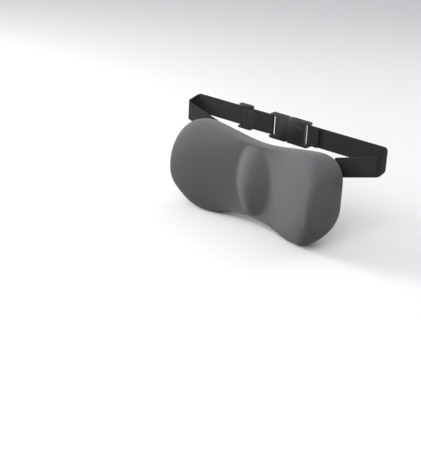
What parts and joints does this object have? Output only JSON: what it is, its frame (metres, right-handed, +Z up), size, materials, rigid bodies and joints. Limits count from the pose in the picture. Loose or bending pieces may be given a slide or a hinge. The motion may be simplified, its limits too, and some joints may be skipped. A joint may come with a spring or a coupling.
{
  "type": "lumbar support cushion",
  "caption": "Bolster-shaped foam back cushion with raised wings and a spine ridge, in a zipped cover, with an elastic strap that buckles round a backrest.",
  "frame": {"origin": "middle of the flat back face that lies on the backrest, half way up the cushion", "axes": "+X to the sitter's left along the cushion, +Y out of the back face into the backrest, +Z up"},
  "size_m": [0.456, 0.1444, 0.1983],
  "materials": {
    "foam": "open-cell viscoelastic foam",
    "liner": "thin plain knit",
    "cover_fabric": "fine matt stretch knit, mid grey",
    "back_fabric": "matt woven panel, mid grey",
    "zip_tape": "black herringbone tape",
    "zip_coil": "black nylon coil",
    "zip_metal": "black enamelled zinc",
    "elastic": "black ribbed elastic webbing",
    "buckle_plastic": "black moulded acetal",
    "thread": "black polyester thread"
  },
  "bodies": {
    "cushion": {"foam_core": "foam", "liner_front": "liner", "liner_back": "liner", "cover_front": "cover_fabric", "back_panel_upper": "back_fabric", "back_panel_lower": "back_fabric", "zipper_tape_upper": "zip_tape", "zipper_tape_lower": "zip_tape", "zipper_coil_upper": "zip_coil", "zipper_coil_lower": "zip_coil", "zipper_stop_left": "zip_metal", "zipper_stop_right": "zip_metal", "strap_left": "elastic", "strap_left_return": "elastic", "strap_right": "elastic", "buckle_receptacle": "buckle_plastic", "buckle_plug": "buckle_plastic", "stitch_anchor_left": "thread", "stitch_anchor_right": "thread", "stitch_loop_right": "thread"},
    "zip_slider": {"zipper_slider": "zip_metal"},
    "zip_pull": {"zipper_pull": "zip_metal"},
    "adjuster": {"strap_adjuster": "buckle_plastic", "stitch_loop_left": "thread"},
    "release_upper": {"buckle_prong_upper": "buckle_plastic"},
    "release_lower": {"buckle_prong_lower": "buckle_plastic"}
  },
  "joints": [
    {"name": "zip_slide", "type": "slide", "parent": "cushion", "child": "zip_slider", "axis": [-1, 0, 0], "range_m": [0, 0.233]},
    {"name": "pull_swing", "type": "hinge", "parent": "zip_slider", "child": "zip_pull", "pos_m": [0.1175, 0.0035, -0.02], "axis": [1, 0, 0], "range_deg": [0, 160]},
    {"name": "adjuster_slide", "type": "slide", "parent": "cushion", "child": "adjuster", "axis": [1, 0, 0], "range_m": [-0.04, 0.03], "deforming": ["strap_left_return"]},
    {"name": "release_upper_squeeze", "type": "hinge", "parent": "cushion", "child": "release_upper", "pos_m": [0.003, 0.0281, 0.097], "axis": [0, 1, 0], "range_deg": [0, 8], "stiffness_Nm_per_rad": 0.35},
    {"name": "release_lower_squeeze", "type": "hinge", "parent": "cushion", "child": "release_lower", "pos_m": [0.003, 0.0281, 0.071], "axis": [0, -1, 0], "range_deg": [0, 8], "stiffness_Nm_per_rad": 0.35}
  ]
}
